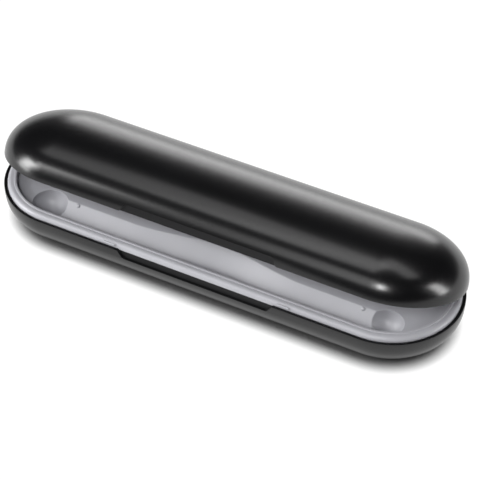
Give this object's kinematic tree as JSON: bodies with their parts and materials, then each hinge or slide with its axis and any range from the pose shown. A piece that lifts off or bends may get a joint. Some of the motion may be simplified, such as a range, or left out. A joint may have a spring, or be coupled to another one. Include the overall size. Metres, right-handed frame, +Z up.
{
  "type": "electric toothbrush travel case",
  "caption": "Long round-ended travel case with two hinged black shells, standing ajar over a light grey tray shaped for a toothbrush handle and spare brush heads.",
  "frame": {"origin": "middle of the flat foot under the lower shell", "axes": "+X along the case, -Y towards the finger recess at its front, +Y towards the hinges, +Z up"},
  "size_m": [0.245, 0.0756, 0.0548],
  "materials": {
    "black_shell": "satin gloss",
    "grey_tray": "fine matt",
    "black_hinge": "matt",
    "steel_pin": "ground"
  },
  "bodies": {
    "base": {"base_shell": "black_shell", "base_tray": "grey_tray", "base_hinge_left": "black_hinge", "base_hinge_right": "black_hinge", "hinge_pin_left": "steel_pin", "hinge_pin_right": "steel_pin"},
    "lid": {"lid_shell": "black_shell", "lid_liner": "grey_tray", "lid_hinge_left": "black_hinge", "lid_hinge_right": "black_hinge"}
  },
  "joints": [
    {"name": "lid_hinge", "type": "hinge", "parent": "base", "child": "lid", "pos_m": [0, 0.0367, 0.02], "axis": [-1, 0, 0], "range_deg": [-18.2, 81.8]}
  ]
}
